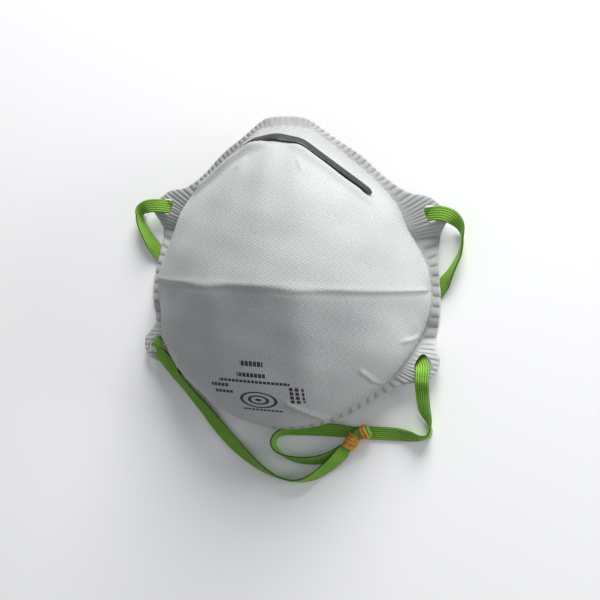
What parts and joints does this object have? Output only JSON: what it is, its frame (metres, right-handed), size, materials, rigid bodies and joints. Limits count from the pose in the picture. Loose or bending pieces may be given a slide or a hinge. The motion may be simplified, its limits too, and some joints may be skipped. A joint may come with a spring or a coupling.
{
  "type": "disposable dust mask",
  "caption": "Cup-shaped disposable dust mask with pleated embossed shell, crimped rim with strap ears, bendable nose clip and an elastic strap joined by thread whipping.",
  "frame": {"origin": "centre of the face opening, in the plane the mask rests on, face opening down", "axes": "+Z out of the front of the cup, +Y to the nose, -Y to the chin, +X to the right as seen from the front"},
  "size_m": [0.165, 0.17, 0.057],
  "materials": {
    "cover_nonwoven": "embossed matte nonwoven",
    "meltblown": "soft melt-blown fibre",
    "shell_fibre": "heat-moulded stiff fibre",
    "lining_nonwoven": "smooth soft nonwoven",
    "welded_rim": "crimped and welded nonwoven",
    "clip_metal": "dark coated soft metal strip",
    "adhesive": "clear adhesive",
    "foam": "open-cell foam",
    "elastic": "flat braided elastic",
    "thread": "wound thread"
  },
  "bodies": {
    "mask": {"outer_cover": "cover_nonwoven", "filter_layer_outer": "meltblown", "filter_layer_inner": "meltblown", "support_shell": "shell_fibre", "inner_lining": "lining_nonwoven", "crimped_rim": "welded_rim", "nose_clip": "clip_metal", "nose_clip_adhesive": "adhesive", "nose_foam": "foam", "nose_foam_adhesive": "adhesive", "side_strap_left": "elastic", "side_strap_right": "elastic"},
    "head_band": {"head_strap": "elastic"},
    "neck_band": {"neck_strap_left": "elastic", "neck_strap_right": "elastic", "strap_whipping": "thread", "tail_whipping": "thread"}
  },
  "joints": [
    {"name": "head_strap_swing", "type": "hinge", "parent": "mask", "child": "head_band", "pos_m": [0, 0.0315, 0.0033], "axis": [1, 0, 0], "range_deg": [0, 180]},
    {"name": "neck_strap_swing", "type": "hinge", "parent": "mask", "child": "neck_band", "pos_m": [0, -0.0518, 0.0029], "axis": [1, 0, 0], "range_deg": [0, 90]}
  ]
}
